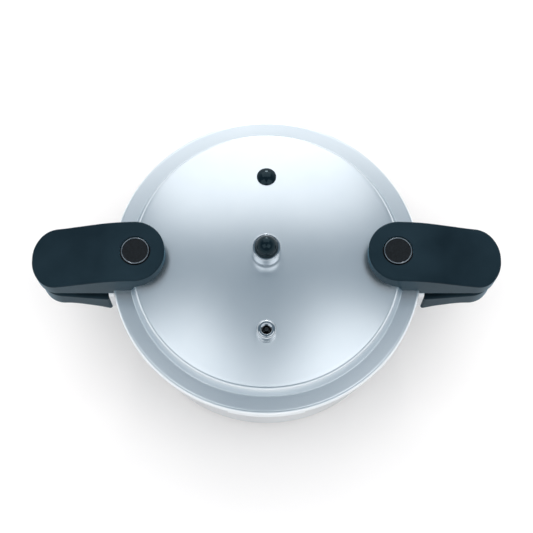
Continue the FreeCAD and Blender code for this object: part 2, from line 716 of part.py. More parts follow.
def strap_space():
    """Room under the handle for the strap and its rivet heads."""
    clear = ASSEMBLY_CLEARANCE
    space = lid_form(-STRAP_GAUGE - clear, 0).common(strap_region(clear))
    for x, y in strap_rivet_places():
        top = strap_top(x) + RIVET_RADIUS + clear
        space = space.fuse(rod(RIVET_RADIUS * RIVET_HEAD_SPREAD + clear, BAND_TOP - LID_GAUGE, top, x, y))
    return space


def strap_top(x):
    return dome_height(x) + STRAP_GAUGE


def strap_rivet_places():
    """The two rivets at the strap's inner end."""
    return [(BADGE_X - STRAP_RIVET_OFFSET, side * STRAP_HALF_WIDTH / 2) for side in (-1, 1)]


def lid_strap():
    """Formed steel strap that follows the lid over its step and carries the handle's nut."""
    strap = lid_form(-STRAP_GAUGE, 0).cut(lid_form(0, -OVERCUT)).common(strap_region(0))
    strap = strap.cut(rod(STRAP_SCREW_RADIUS, BAND_TOP, HANDLE_TOP, BADGE_X))
    for x, y in strap_rivet_places():
        strap = strap.cut(rod(RIVET_RADIUS, BAND_TOP, HANDLE_TOP, x, y))
    return strap


def strap_rivets():
    """Domed rivets through the strap and the lid, shaped to the faces they bear on."""
    rivets = []
    for x, y in strap_rivet_places():
        low = dome_height(x) - LID_GAUGE
        outside = moved(lid_form(-STRAP_GAUGE, 0), -x, -y)
        inside = moved(lid_form(LID_GAUGE, 0), -x, -y)
        upper = rivet_head(strap_top(x) - RIVET_HEAD_SINK).cut(outside)
        lower = moved(rivet_head(0).mirror(ORIGIN, UP), z=low + RIVET_HEAD_SINK).common(inside)
        shank = rod(RIVET_RADIUS, low - RIVET_SHANK_ENTRY, strap_top(x) + RIVET_SHANK_ENTRY)
        rivets.append(moved(upper.fuse(shank).fuse(lower), x, y))
    return rivets


def strap_nut_high():
    """Top of the nut, whose inner corner stands highest on the sloping strap."""
    return strap_top(BADGE_X - STRAP_NUT_FLATS / sqrt(3)) + STRAP_NUT_HEIGHT


def strap_nut():
    nut = hexagon(STRAP_NUT_FLATS, SHOULDER_TOP, strap_nut_high())
    nut = moved(nut.cut(rod(STRAP_SCREW_RADIUS, 0, HANDLE_TOP)), x=BADGE_X)
    return nut.cut(lid_form(-STRAP_GAUGE, 0))


def handle_screw():
    head_radius = STRAP_SCREW_RADIUS * SCREW_HEAD_SPREAD
    top = SCREW_SEAT + SCREW_HEAD_HEIGHT
    head = rod(head_radius, SCREW_SEAT, top).cut(driver_slot(top - DRIVER_SLOT_DEPTH, head_radius))
    shank = rod(STRAP_SCREW_RADIUS, dome_height(BADGE_X) + SCREW_TIP, SCREW_SEAT)
    return moved(head.fuse(shank), x=BADGE_X)


def badge_ring():
    low = HANDLE_TOP - BADGE_POCKET_DEPTH + BADGE_FLANGE
    high = HANDLE_TOP + BADGE_RING_PROUD
    inner = BADGE_RING_RADIUS - BADGE_RING_WALL
    corners = [(inner, low), (BADGE_RING_RADIUS, low), (BADGE_RING_RADIUS, high, BADGE_RING_BEAD)]
    corners.append((inner, high, BADGE_RING_BEAD))
    return moved(turned(corners), x=BADGE_X)


def badge_disc():
    """Blank insert that snaps into the pocket over the screw head."""
    low = HANDLE_TOP - BADGE_POCKET_DEPTH
    high = HANDLE_TOP - BADGE_SINK
    barrel = BADGE_RING_RADIUS - BADGE_RING_WALL
    corners = [(0, low), (BADGE_POCKET_RADIUS, low), (BADGE_POCKET_RADIUS, low + BADGE_FLANGE)]
    corners += [(barrel, low + BADGE_FLANGE), (barrel, high, BADGE_EDGE), (0, high)]
    return moved(turned(corners), x=BADGE_X)


# ---------------------------------------------------------------- vent pipe and regulator

def under_lid(disc):
    """A disc under the lid, with its top shaped to the lid's underside."""
    return disc.common(lid_form(LID_GAUGE, 0))


def washer(radius, bore, low, high, y=0.0):
    return rod(radius, low, high, 0, y).cut(rod(bore, low - OVERCUT, high + OVERCUT, 0, y))


def vent_pipe():
    """Pipe with a hexagon on the dome, a threaded shank below it and a steam seat at its top."""
    collar = hexagon(VENT_COLLAR_FLATS, LID_TOP - OVERCUT, LID_TOP + VENT_COLLAR_HEIGHT)
    pipe = rod(VENT_PIPE_RADIUS, LID_TOP, VENT_TOP).fuse(collar.cut(lid_form(0, 0)))
    pipe = pipe.fuse(rod(VENT_SHANK_RADIUS, LID_TOP - VENT_SHANK_LENGTH, LID_TOP))
    pipe = pipe.cut(rod(VENT_BORE_RADIUS, 0, VENT_TOP + OVERCUT))
    low = VENT_TOP - SEAT_DEPTH
    return pipe.cut(turned([(0, low), (VENT_BORE_RADIUS, low), (SEAT_RADIUS, VENT_TOP), (0, VENT_TOP)]))


def vent_seal():
    return under_lid(washer(VENT_SEAL_RADIUS, VENT_SHANK_RADIUS, VENT_SEAL_LOW, LID_TOP))


def vent_nut():
    nut = hexagon(VENT_NUT_FLATS, VENT_NUT_LOW, VENT_SEAL_LOW)
    return nut.cut(rod(VENT_SHANK_RADIUS, 0, LID_TOP))


def vent_strainer():
    """Slotted cap pushed over the shank's lower end, which keeps food out of the bore."""
    low = VENT_NUT_LOW - STRAINER_LENGTH
    radius = VENT_SHANK_RADIUS + STRAINER_WALL
    cap = turned([(0, low), (radius, low, STRAINER_CORNER), (radius, VENT_NUT_LOW), (0, VENT_NUT_LOW)])
    cap = cap.cut(rod(VENT_SHANK_RADIUS, LID_TOP - VENT_SHANK_LENGTH, LID_TOP))
    cap = cap.cut(rod(STRAINER_HOLLOW_RADIUS, low + STRAINER_WALL, VENT_NUT_LOW))
    size = (4 * radius, STRAINER_SLOT_WIDTH, STRAINER_SLOT_HEIGHT)
    corner = Vector(-2 * radius, -STRAINER_SLOT_WIDTH / 2, low + STRAINER_SLOT_LOW)
    for index in range(STRAINER_SLOTS):
        slot = Part.makeBox(*size, corner)
        slot.rotate(ORIGIN, UP, index * 180 / STRAINER_SLOTS)
        cap = cap.cut(slot)
    return cap


def regulator_weight():
    foot = WEIGHT_RADIUS - WEIGHT_FOOT_TAPER
    outer = [(0, WEIGHT_LOW), (foot, WEIGHT_LOW, WEIGHT_FOOT_EDGE)]
    outer.append((WEIGHT_RADIUS, WEIGHT_LOW + WEIGHT_FOOT_HEIGHT, WEIGHT_WAIST_RADIUS))
    outer += [(WEIGHT_RADIUS, WEIGHT_TOP, WEIGHT_RIM_EDGE), (0, WEIGHT_TOP)]
    hollows = [rod(WEIGHT_HOLLOW_RADIUS, WEIGHT_LOW - OVERCUT, WEIGHT_LOW + WEIGHT_HOLLOW_DEPTH)]
    hollows.append(rod(VENT_PIPE_RADIUS + SLIDING_CLEARANCE, WEIGHT_LOW, VENT_TOP + VENT_TOP_CLEARANCE))
    hollows.append(rod(SEAT_RADIUS, WEIGHT_LOW, WEIGHT_TOP + OVERCUT))
    hollows.append(rod(WEIGHT_RADIUS - WEIGHT_RIM_WALL, WEIGHT_RECESS, WEIGHT_TOP + OVERCUT))
    weight = turned(outer)
    for hollow in hollows:
        weight = weight.cut(hollow)
    return weight


def regulator_knob():
    collar = WEIGHT_RADIUS - WEIGHT_RIM_WALL - KNOB_CLEARANCE
    high = WEIGHT_RECESS + KNOB_HEIGHT
    shelf = WEIGHT_RECESS + KNOB_COLLAR_HEIGHT
    corners = [(0, WEIGHT_RECESS), (collar, WEIGHT_RECESS), (collar, shelf, KNOB_COLLAR_EDGE)]
    corners.append((KNOB_RADIUS, shelf + KNOB_NECK_RISE, KNOB_NECK_RADIUS))
    corners += [(KNOB_RADIUS, high, KNOB_CROWN_RADIUS), (0, high)]
    return turned(corners).cut(rod(SEAT_RADIUS, WEIGHT_RECESS - OVERCUT, WEIGHT_RECESS + NEEDLE_HOLD))


def regulator_needle():
    """Steel pin pressed into the weight and the knob, with a cone that closes the vent pipe."""
    slope = (SEAT_RADIUS - VENT_BORE_RADIUS) / SEAT_DEPTH
    shoulder = VENT_TOP + 2 * SLIDING_CLEARANCE
    tip = VENT_TOP - SEAT_DEPTH - NEEDLE_TIP
    high = WEIGHT_RECESS + NEEDLE_HOLD
    corners = [(0, tip), (SEAT_RADIUS - slope * (shoulder - tip), tip), (SEAT_RADIUS, shoulder)]
    return turned(corners + [(SEAT_RADIUS, high), (0, high)])


# ---------------------------------------------------------------- safety valve

def valve_base():
    """Height of the dome where the safety valve stands."""
    return dome_height(VALVE_OFFSET)


def valve_floor():
    return valve_base() + VALVE_FLOOR_HEIGHT


def valve_cap_low():
    return valve_base() + VALVE_HEIGHT - VALVE_CAP_HEIGHT


def valve_gasket_low():
    return valve_base() - LID_GAUGE - VALVE_GASKET_HEIGHT


def pin_low():
    return valve_floor() + VALVE_DISC_HEIGHT


def spring_low():
    return pin_low() + PIN_SHOULDER_HEIGHT


def at_valve(shape):
    return moved(shape, y=-VALVE_OFFSET)


def valve_body():
    base = valve_base()
    high = valve_cap_low()
    waist = VALVE_RADIUS - VALVE_GROOVE_DEPTH
    foot_top = base + VALVE_FOOT_HEIGHT
    outer = [(0, base - VALVE_ROOT), (VALVE_RADIUS, base - VALVE_ROOT)]
    for low in (foot_top, foot_top + VALVE_GROOVE_HEIGHT + VALVE_RIB_HEIGHT):
        rib_low = low + VALVE_GROOVE_HEIGHT
        outer += [(VALVE_RADIUS, low, VALVE_RIB_EDGE), (waist, low, VALVE_GROOVE_EDGE)]
        outer += [(waist, rib_low, VALVE_GROOVE_EDGE), (VALVE_RADIUS, rib_low, VALVE_RIB_EDGE)]
    body = turned(outer + [(VALVE_RADIUS, high), (0, high)])
    body = body.cut(moved(lid_form(0, 0), y=VALVE_OFFSET))
    body = body.fuse(rod(VALVE_SHANK_RADIUS, base - VALVE_SHANK_LENGTH, base + OVERCUT))
    body = body.cut(rod(VALVE_CHAMBER_RADIUS, valve_floor(), high + OVERCUT))
    return at_valve(body.cut(rod(VALVE_INLET_RADIUS, 0, high)))


def valve_cap():
    low = valve_cap_low()
    high = low + VALVE_CAP_HEIGHT
    corners = [(VALVE_MOUTH_RADIUS, low), (VALVE_RADIUS, low), (VALVE_RADIUS, high, VALVE_CAP_EDGE)]
    corners.append((VALVE_MOUTH_RADIUS + VALVE_FUNNEL_WIDTH, high, VALVE_FUNNEL_EDGE))
    corners.append((VALVE_MOUTH_RADIUS, high - VALVE_FUNNEL_DEPTH))
    return at_valve(turned(corners))


def valve_gasket():
    low = valve_gasket_low()
    return under_lid(washer(VALVE_GASKET_RADIUS, VALVE_SHANK_RADIUS, low, LID_TOP, -VALVE_OFFSET))


def valve_nut():
    nut = hexagon(VALVE_NUT_FLATS, valve_gasket_low() - VALVE_NUT_HEIGHT, valve_gasket_low())
    return at_valve(nut.cut(rod(VALVE_SHANK_RADIUS, 0, LID_TOP)))


def valve_disc():
    """Soft disc under the pin that closes the inlet."""
    low = valve_floor() + SLIDING_CLEARANCE / 2
    return at_valve(rod(VALVE_CHAMBER_RADIUS - VALVE_DISC_MARGIN, low, pin_low()))


def valve_pin():
    shoulder = VALVE_CHAMBER_RADIUS - SLIDING_CLEARANCE
    high = valve_base() + VALVE_HEIGHT - PIN_DEPTH
    corners = [(0, pin_low()), (shoulder, pin_low()), (shoulder, spring_low())]
    corners += [(PIN_RADIUS, spring_low()), (PIN_RADIUS, high, PIN_EDGE), (0, high)]
    return at_valve(turned(corners))


def valve_spring():
    """Coil between the pin's shoulder and the cap."""
    radius = VALVE_CHAMBER_RADIUS - SPRING_WIRE / 2 - SPRING_CLEARANCE
    height = valve_cap_low() - spring_low() - SPRING_WIRE - 2 * SPRING_PLAY
    path = Part.makeLongHelix(height / SPRING_TURNS, height, radius)
    section = Part.Wire(Part.makeCircle(SPRING_WIRE / 2, Vector(radius, 0, 0), Vector(0, 1, 0)))
    coil = Part.Wire(path.Edges).makePipeShell([section], True, True)
    return at_valve(moved(coil, z=spring_low() + SPRING_WIRE / 2 + SPRING_PLAY))


# ---------------------------------------------------------------- relief plug

def at_plug(shape):
    """Stand a shape made about Z on the dome behind the vent, square to the dome."""
    placed = shape.copy()
    placed.rotate(ORIGIN, Vector(1, 0, 0), -degrees(atan2(PLUG_OFFSET, DOME_RADIUS)))
    return moved(placed, y=PLUG_OFFSET, z=dome_height(PLUG_OFFSET))


def relief_plug():
    """Rubber plug with a domed head on the lid, a neck in its hole and a flange underneath."""
    crown = PLUG_RISE - PLUG_EDGE
    radius = (PLUG_RADIUS ** 2 + crown ** 2) / (2 * crown)
    head = Part.makeSphere(radius, Vector(0, 0, PLUG_RISE - radius))
    head = at_plug(head.common(rod(PLUG_RADIUS, -PLUG_ROOT, PLUG_RISE))).cut(lid_form(0, 0))
    neck = at_plug(rod(PLUG_NECK_RADIUS, -PLUG_NECK_LENGTH, PLUG_EDGE))
    flange = under_lid(at_plug(rod(PLUG_FLANGE_RADIUS, -LID_GAUGE - PLUG_FLANGE_HEIGHT, 0)))
    return head.fuse(neck).fuse(flange)


# ---------------------------------------------------------------- nodes

os.makedirs("parts", exist_ok=True)

save("pot_body", drilled(pot_body(), True))
save_pair("pot_bracket", drilled(saddle(), False))
save("pot_bracket_rivets", *wall_rivets(), *[mirrored(rivet) for rivet in wall_rivets()])
save_pair("flame_guard", flame_guard())
save_pair("lower_handle", lower_handle())
save("lower_handle_screws", lower_screw(), mirrored(lower_screw()))
save("lower_handle_nuts", lower_nut(), mirrored(lower_nut()))

save("lid_shell", lid_shell())
save("sealing_ring", sealing_ring())
save_pair("upper_handle", upper_handle())
save_pair("lid_strap", lid_strap())
save("lid_strap_rivets", *strap_rivets(), *[mirrored(rivet) for rivet in strap_rivets()])
save("upper_handle_screws", handle_screw(), mirrored(handle_screw()))
save("upper_handle_nuts", strap_nut(), mirrored(strap_nut()))
save_pair("badge_ring", badge_ring())
save_pair("badge_disc", badge_disc())

save("vent_pipe", vent_pipe())
save("vent_seal", vent_seal())
save("vent_nut", vent_nut())
save("vent_strainer", vent_strainer())
save("regulator_weight", regulator_weight())
save("regulator_knob", regulator_knob())
save("regulator_needle", regulator_needle())

save("safety_valve_body", valve_body())
save("safety_valve_cap", valve_cap())
save("safety_valve_gasket", valve_gasket())
save("safety_valve_nut", valve_nut())
save("safety_valve_disc", valve_disc())
save("safety_valve_pin", valve_pin())
save("safety_valve_spring", valve_spring())
save("relief_plug", relief_plug())
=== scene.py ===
"""Looks of the stovetop pressure cooker: finishes, close-up detail, studio light and camera."""
import json
import math
import bmesh
import bpy
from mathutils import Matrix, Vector


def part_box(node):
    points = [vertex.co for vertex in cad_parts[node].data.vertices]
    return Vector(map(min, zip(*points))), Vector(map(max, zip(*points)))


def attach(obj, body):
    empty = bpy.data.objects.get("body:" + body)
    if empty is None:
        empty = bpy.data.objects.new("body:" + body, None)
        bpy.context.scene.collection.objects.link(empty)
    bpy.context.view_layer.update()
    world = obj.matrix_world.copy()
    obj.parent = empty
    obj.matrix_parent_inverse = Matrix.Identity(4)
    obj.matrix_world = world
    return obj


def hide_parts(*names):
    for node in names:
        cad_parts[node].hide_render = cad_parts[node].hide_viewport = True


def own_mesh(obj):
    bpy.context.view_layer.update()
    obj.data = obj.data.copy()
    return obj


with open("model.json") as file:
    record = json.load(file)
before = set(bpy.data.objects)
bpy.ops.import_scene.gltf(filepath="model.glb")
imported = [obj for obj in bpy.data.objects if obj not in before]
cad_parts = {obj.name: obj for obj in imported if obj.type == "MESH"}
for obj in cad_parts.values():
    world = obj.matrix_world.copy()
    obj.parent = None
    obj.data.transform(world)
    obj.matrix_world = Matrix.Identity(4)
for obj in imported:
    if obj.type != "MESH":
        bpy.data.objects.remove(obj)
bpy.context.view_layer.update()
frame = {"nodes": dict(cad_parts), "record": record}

# Camera: height of the view above the horizon, distance, and the rim's depth below the lid's top
VIEW_ELEVATION = math.radians(70.5)
VIEW_DISTANCE = 1.100
VIEW_DROP = 0.0048
RIM_DEPTH = 0.0215
LENS = 80.5
SENSOR = 36.0

# Lid shell, in metres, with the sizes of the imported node
LID_RADIUS = 0.143
LID_GAUGE = 0.0027
LID_TOP = 0.1415
SHOULDER_TOP = 0.1305
BAND_TOP = 0.120
SKIRT_LOW = 0.1066
BAND_WIDTH = 0.0158
STEP_RUN = 0.0046
TOOTH_TOP = 0.1092
TOOTH_INNER = 0.1355
WINDOW_TOP = 0.1110
LID_SECTORS = 6
WINDOW_HALF_DEGREES = 16
TOOTH_HALF_DEGREES = 14
TOOTH_EASE = 0.0004
SHOULDER_EASE = 0.0005
STEP_FILLET = 0.0012
EDGE_EASE = 0.0003
DOME_STEPS = 25
LID_COLUMNS = 360

# Regulator's knob: a collar, a short neck and a dome
KNOB_RADIUS = 0.0096
KNOB_COLLAR_HEIGHT = 0.0022
KNOB_NECK_RISE = 0.0012
KNOB_COLLAR_EDGE = 0.0008
KNOB_NECK_FILLET = 0.0004
KNOB_DOME_STEPS = 24
KNOB_COLUMNS = 96

# Safety valve's spring, which holds down the pin
VALVE_SPRING_WIRE = 0.0009
VALVE_SPRING_TURNS = 4
SPRING_TURN_STEPS = 48
SPRING_AROUND = 14

# Studio: floor, and lamps placed by two tilts in degrees from straight up, a distance and a size
FLOOR_HALF = 4.0
FLOOR_DROP = 0.0005
GLOW_START = 1.2
GLOW_END = 3.6
GLOW_STRENGTH = 0.7
HORIZON_TINT = (0.80, 0.86, 0.90)
OVERHEAD_TINT = (0.155, 0.213, 0.262)
LAMP_AIM_HEIGHT = 0.12
LAMPS = {
    "back_softbox": dict(tilt_x=-1.5, tilt_y=45.2, distance=4.0, width=3.3, height=2.6, radiance=1.07),
    "left_overhead": dict(tilt_x=-19.5, tilt_y=-9, distance=4.0, width=2.2, height=2.0, radiance=1.05),
    "right_overhead": dict(tilt_x=18.5, tilt_y=-9, distance=4.0, width=2.2, height=2.0, radiance=1.15),
    "back_glint": dict(tilt_x=0.0, tilt_y=69, distance=4.0, width=0.6, height=0.5, radiance=16.0),
    "fill": dict(tilt_x=0.0, tilt_y=-5, distance=3.0, width=5.0, height=5.0, radiance=1.25, glossy=False),
}


# ---------------------------------------------------------------- shader helpers

def new_material(name):
    """Material with its node tree and its Principled shader."""
    material = bpy.data.materials.new(name)
    material.use_nodes = True
    tree = material.node_tree
    shader = tree.nodes["Principled BSDF"]
    return material, tree, shader


def add(tree, kind, **settings):
    """New shader node with its settings."""
    node = tree.nodes.new(kind)
    for key, value in settings.items():
        setattr(node, key, value)
    return node


def noise(tree, scale, detail=4.0, stretch=None):
    """Noise in the object's own coordinates, per metre, with an optional stretch."""
    place = add(tree, "ShaderNodeTexCoord")
    texture = add(tree, "ShaderNodeTexNoise")
    texture.inputs["Scale"].default_value = scale
    texture.inputs["Detail"].default_value = detail
    source = place.outputs["Object"]
    if stretch is not None:
        mapping = add(tree, "ShaderNodeMapping")
        mapping.inputs["Scale"].default_value = stretch
        tree.links.new(source, mapping.inputs["Vector"])
        source = mapping.outputs["Vector"]
    tree.links.new(source, texture.inputs["Vector"])
    return texture.outputs["Fac"]


def spread(tree, source, low, high):
    """Map 0..1 to a narrower range of numbers."""
    ramp = add(tree, "ShaderNodeMapRange")
    ramp.inputs["To Min"].default_value = low
    ramp.inputs["To Max"].default_value = high
    tree.links.new(source, ramp.inputs["Value"])
    return ramp.outputs["Result"]


def tint(tree, source, dark, light, low=0.3, high=0.7):
    """Map 0..1 to a colour between two tints."""
    ramp = add(tree, "ShaderNodeValToRGB")
    ramp.color_ramp.elements[0].position = low
    ramp.color_ramp.elements[1].position = high
    ramp.color_ramp.elements[0].color = (*dark, 1.0)
    ramp.color_ramp.elements[1].color = (*light, 1.0)
    tree.links.new(source, ramp.inputs["Fac"])
    return ramp.outputs["Color"]


def relief(tree, shader, source, strength, depth):
    """Bump from a height in metres."""
    bump = add(tree, "ShaderNodeBump")
    bump.inputs["Strength"].default_value = strength
    bump.inputs["Distance"].default_value = depth
    tree.links.new(source, bump.inputs["Height"])
    tree.links.new(bump.outputs["Normal"], shader.inputs["Normal"])


def colour(tree, shader, source, dark, light):
    """Vary the base colour between two tints."""
    tree.links.new(tint(tree, source, dark, light), shader.inputs["Base Color"])


def roughen(tree, shader, source, low, high):
    """Vary the roughness between two values."""
    tree.links.new(spread(tree, source, low, high), shader.inputs["Roughness"])


# ---------------------------------------------------------------- materials

def satin_aluminium(name, dark, light, rough_low, rough_high):
    """Fine-blasted aluminium: even satin with a faint cloud and grain."""
    material, tree, shader = new_material(name)
    shader.inputs["Metallic"].default_value = 1.0
    colour(tree, shader, noise(tree, scale=22.0, detail=3.0), dark, light)
    roughen(tree, shader, noise(tree, scale=900.0, detail=2.0), rough_low, rough_high)
    relief(tree, shader, noise(tree, scale=3800.0, detail=2.0), strength=0.05, depth=0.00002)
    return material


def moulded_phenolic():
    """Dark moulded resin with a satin skin and a very fine stipple."""
    material, tree, shader = new_material("moulded_phenolic")
    cloud = noise(tree, scale=16.0, detail=3.0)
    colour(tree, shader, cloud, dark=(0.0060, 0.0132, 0.0190), light=(0.0142, 0.0272, 0.0365))
    shader.inputs["Specular IOR Level"].default_value = 0.06
    shader.inputs["Sheen Weight"].default_value = 0.26
    shader.inputs["Sheen Roughness"].default_value = 0.30
    shader.inputs["Sheen Tint"].default_value = (0.28, 0.72, 1.0, 1.0)
    shader.inputs["Specular Tint"].default_value = (0.52, 0.86, 1.0, 1.0)
    roughen(tree, shader, noise(tree, scale=700.0, detail=3.0), low=0.34, high=0.44)
    relief(tree, shader, noise(tree, scale=1500.0, detail=3.0), strength=0.10, depth=0.00006)
    return material


def gloss_black(name, roughness):
    """Blue-black gloss for the weight's knob and the relief plug."""
    material, tree, shader = new_material(name)
    colour(tree, shader, noise(tree, scale=120.0), dark=(0.002, 0.006, 0.009), light=(0.004, 0.010, 0.014))
    grain = noise(tree, scale=600.0, detail=2.0)
    roughen(tree, shader, grain, low=roughness * 0.8, high=roughness * 1.2)
    relief(tree, shader, noise(tree, scale=900.0, detail=2.0), strength=0.05, depth=0.00003)
    shader.inputs["Specular IOR Level"].default_value = 0.32
    shader.inputs["Specular Tint"].default_value = (0.6, 0.88, 1.0, 1.0)
    return material


def grained_badge():
    """Near-black insert with a fine cast texture."""
    material, tree, shader = new_material("grained_badge")
    colour(tree, shader, noise(tree, scale=900.0), dark=(0.002, 0.003, 0.004), light=(0.008, 0.011, 0.014))
    shader.inputs["Specular IOR Level"].default_value = 0.2
    roughen(tree, shader, noise(tree, scale=500.0), low=0.32, high=0.5)
    relief(tree, shader, noise(tree, scale=1100.0), strength=0.5, depth=0.00012)
    return material


def polished_metal(name, dark, light, roughness):
    """Plated or polished metal with faint polishing marks round its axis."""
    material, tree, shader = new_material(name)
    shader.inputs["Metallic"].default_value = 1.0
    marks = noise(tree, scale=60.0, detail=3.0, stretch=(1.0, 1.0, 30.0))
    colour(tree, shader, marks, dark, light)
    roughen(tree, shader, marks, low=roughness * 0.6, high=roughness * 1.4)
    relief(tree, shader, marks, strength=0.03, depth=0.00002)
    return material


def seal_rubber():
    """Grey moulded rubber, matt and slightly rough."""
    material, tree, shader = new_material("seal_rubber")
    colour(tree, shader, noise(tree, scale=150.0), dark=(0.055, 0.055, 0.058), light=(0.085, 0.085, 0.09))
    roughen(tree, shader, noise(tree, scale=400.0), low=0.5, high=0.68)
    relief(tree, shader, noise(tree, scale=1200.0), strength=0.2, depth=0.00008)
    return material


MATERIALS = {
    "pot_aluminium": satin_aluminium("spun_aluminium", (0.62, 0.645, 0.665), (0.70, 0.725, 0.745),
                                     rough_low=0.24, rough_high=0.36),
    "lid_aluminium": satin_aluminium("lid_aluminium", (0.80, 0.845, 0.88), (0.84, 0.88, 0.91),
                                     rough_low=0.27, rough_high=0.30),
    "bracket_steel": polished_metal("brushed_bracket", (0.62, 0.65, 0.67), (0.74, 0.76, 0.78), 0.30),
    "handle_phenolic": moulded_phenolic(),
    "fastener_steel": polished_metal("fastener_steel", (0.52, 0.53, 0.54), (0.62, 0.63, 0.64), 0.28),
    "seal_rubber": seal_rubber(),
    "badge_plastic": grained_badge(),
    "bright_chrome": polished_metal("bright_chrome", (0.58, 0.61, 0.64), (0.66, 0.69, 0.72), 0.07),
    "plated_brass": polished_metal("turned_brass", (0.62, 0.50, 0.27), (0.72, 0.60, 0.36), 0.22),
    "knob_plastic": gloss_black("knob_plastic", roughness=0.14),
    "dark_steel": polished_metal("dark_steel", (0.045, 0.05, 0.055), (0.08, 0.085, 0.09), 0.30),
    "plug_rubber": gloss_black("plug_rubber", roughness=0.12),
}
# Darker copy of the chrome for the badge rings: painted shade in place of the dark reflections on the rings
RING_PAINTED_SHADE_CHROME = polished_metal("chrome_with_painted_shade", (0.24, 0.27, 0.30), (0.30, 0.33, 0.36), 0.12)


# ---------------------------------------------------------------- mesh helpers

def piece(name, mesh, material, body, sharp=35.0):
    """Finish a bmesh as a smooth-shaded object that rides on a body."""
    bmesh.ops.recalc_face_normals(mesh, faces=mesh.faces)
    data = bpy.data.meshes.new(name)
    mesh.to_mesh(data)
    mesh.free()
    data.polygons.foreach_set("use_smooth", [True] * len(data.polygons))
    data.set_sharp_from_angle(angle=math.radians(sharp))
    made = bpy.data.objects.new(name, data)
    bpy.context.scene.collection.objects.link(made)
    data.materials.append(material)
    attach(made, body)
    return made


def rounded(corners, steps=8):
    """Open profile through (radius, height, rounding) corners, with each rounding as an arc."""
    points = []
    for index, (radius, height, rounding) in enumerate(corners):
        here = Vector((radius, height))
        if rounding == 0:
            points.append(here)
            continue
        back = (Vector(corners[index - 1][:2]) - here).normalized()
        ahead = (Vector(corners[index + 1][:2]) - here).normalized()
        half = back.angle(ahead) / 2
        centre = here + (back + ahead).normalized() * rounding / math.sin(half)
        start = (here + back * rounding / math.tan(half) - centre).normalized()
        end = (here + ahead * rounding / math.tan(half) - centre).normalized()
        for step in range(steps + 1):
            points.append(centre + start.slerp(end, step / steps) * rounding)
    return points


def lid_profile(inset):
    """Outer face of the lid from its middle to its skirt, drawn in by an inset."""
    slope = math.atan2(STEP_RUN, SHOULDER_TOP - BAND_TOP)
    shift = inset * (1 - math.sin(slope)) / math.cos(slope)
    root = LID_RADIUS - BAND_WIDTH - shift
    shoulder = root - STEP_RUN
    rise = LID_TOP - SHOULDER_TOP
    bow = (shoulder ** 2 + rise ** 2) / (2 * rise)
    corners = []
    for step in range(DOME_STEPS):
        radius = shoulder * step / DOME_STEPS
        corners.append((radius, LID_TOP - inset - bow + math.sqrt(bow ** 2 - radius ** 2), 0))
    corners.append((shoulder, SHOULDER_TOP - inset, LID_GAUGE + SHOULDER_EASE - inset))
    corners.append((root, BAND_TOP - inset, STEP_FILLET + inset))
    corners.append((LID_RADIUS - inset, BAND_TOP - inset, LID_GAUGE + EDGE_EASE - inset))
    corners += [(LID_RADIUS - inset, WINDOW_TOP, 0), (LID_RADIUS - inset, SKIRT_LOW, 0)]
    return rounded(corners)


def strip(mesh, first, second):
    """Faces between two closed rings of vertices."""
    for index in range(len(first)):
        following = (index + 1) % len(first)
        mesh.faces.new((first[index], second[index], second[following], first[following]))


def lathe_ring(mesh, point, count):
    """Ring of vertices round the axis at a (radius, height) point."""
    angles = [2 * math.pi * index / count for index in range(count)]
    return [mesh.verts.new((point.x * math.cos(a), point.x * math.sin(a), point.y)) for a in angles]


def in_window(index):
    """Whether a one-degree column lies in a window between two teeth."""
    pitch = LID_COLUMNS // LID_SECTORS
    return (index + WINDOW_HALF_DEGREES) % pitch < 2 * WINDOW_HALF_DEGREES


def lid_shell():
    """Spun lid as one closed shell of one-degree columns, with the skirt's windows and its teeth."""
    mesh = bmesh.new()
    count = LID_COLUMNS
    outer = [lathe_ring(mesh, point, count) for point in lid_profile(0.0)[1:]]
    inner = [lathe_ring(mesh, point, count) for point in lid_profile(LID_GAUGE)[1:]]
    for rings, height in ((outer, LID_TOP), (inner, LID_TOP - LID_GAUGE)):
        hub = mesh.verts.new((0.0, 0.0, height))
        for index in range(count):
            mesh.faces.new((hub, rings[0][index], rings[0][(index + 1) % count]))
        for upper, lower in zip(rings[:-2], rings[1:-1]):
            strip(mesh, upper, lower)
    for index in range(count):
        following = (index + 1) % count
        row = -2 if in_window(index) else -1
        foot_outer, foot_inner = outer[row], inner[row]
        mesh.faces.new((foot_outer[index], foot_outer[following], foot_inner[following], foot_inner[index]))
        if row == -1:
            for *_, upper, lower in (outer, inner):
                mesh.faces.new((upper[index], lower[index], lower[following], upper[following]))
        if in_window(index) != in_window(following):
            edge = [outer[-2], outer[-1], inner[-1], inner[-2]]
            mesh.faces.new([ring[following] for ring in edge])
    bmesh.ops.delete(mesh, geom=[v for v in mesh.verts if not v.link_faces], context="VERTS")
    shell = piece("lid_shell_spun", mesh, MATERIALS["lid_aluminium"], "lid")
    teeth = bmesh.new()
    for sector in range(LID_SECTORS):
        add_tooth(teeth, middle=360 / LID_SECTORS * (sector + 0.5))
    piece("lid_teeth", teeth, MATERIALS["lid_aluminium"], "lid")
    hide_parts("lid_shell")


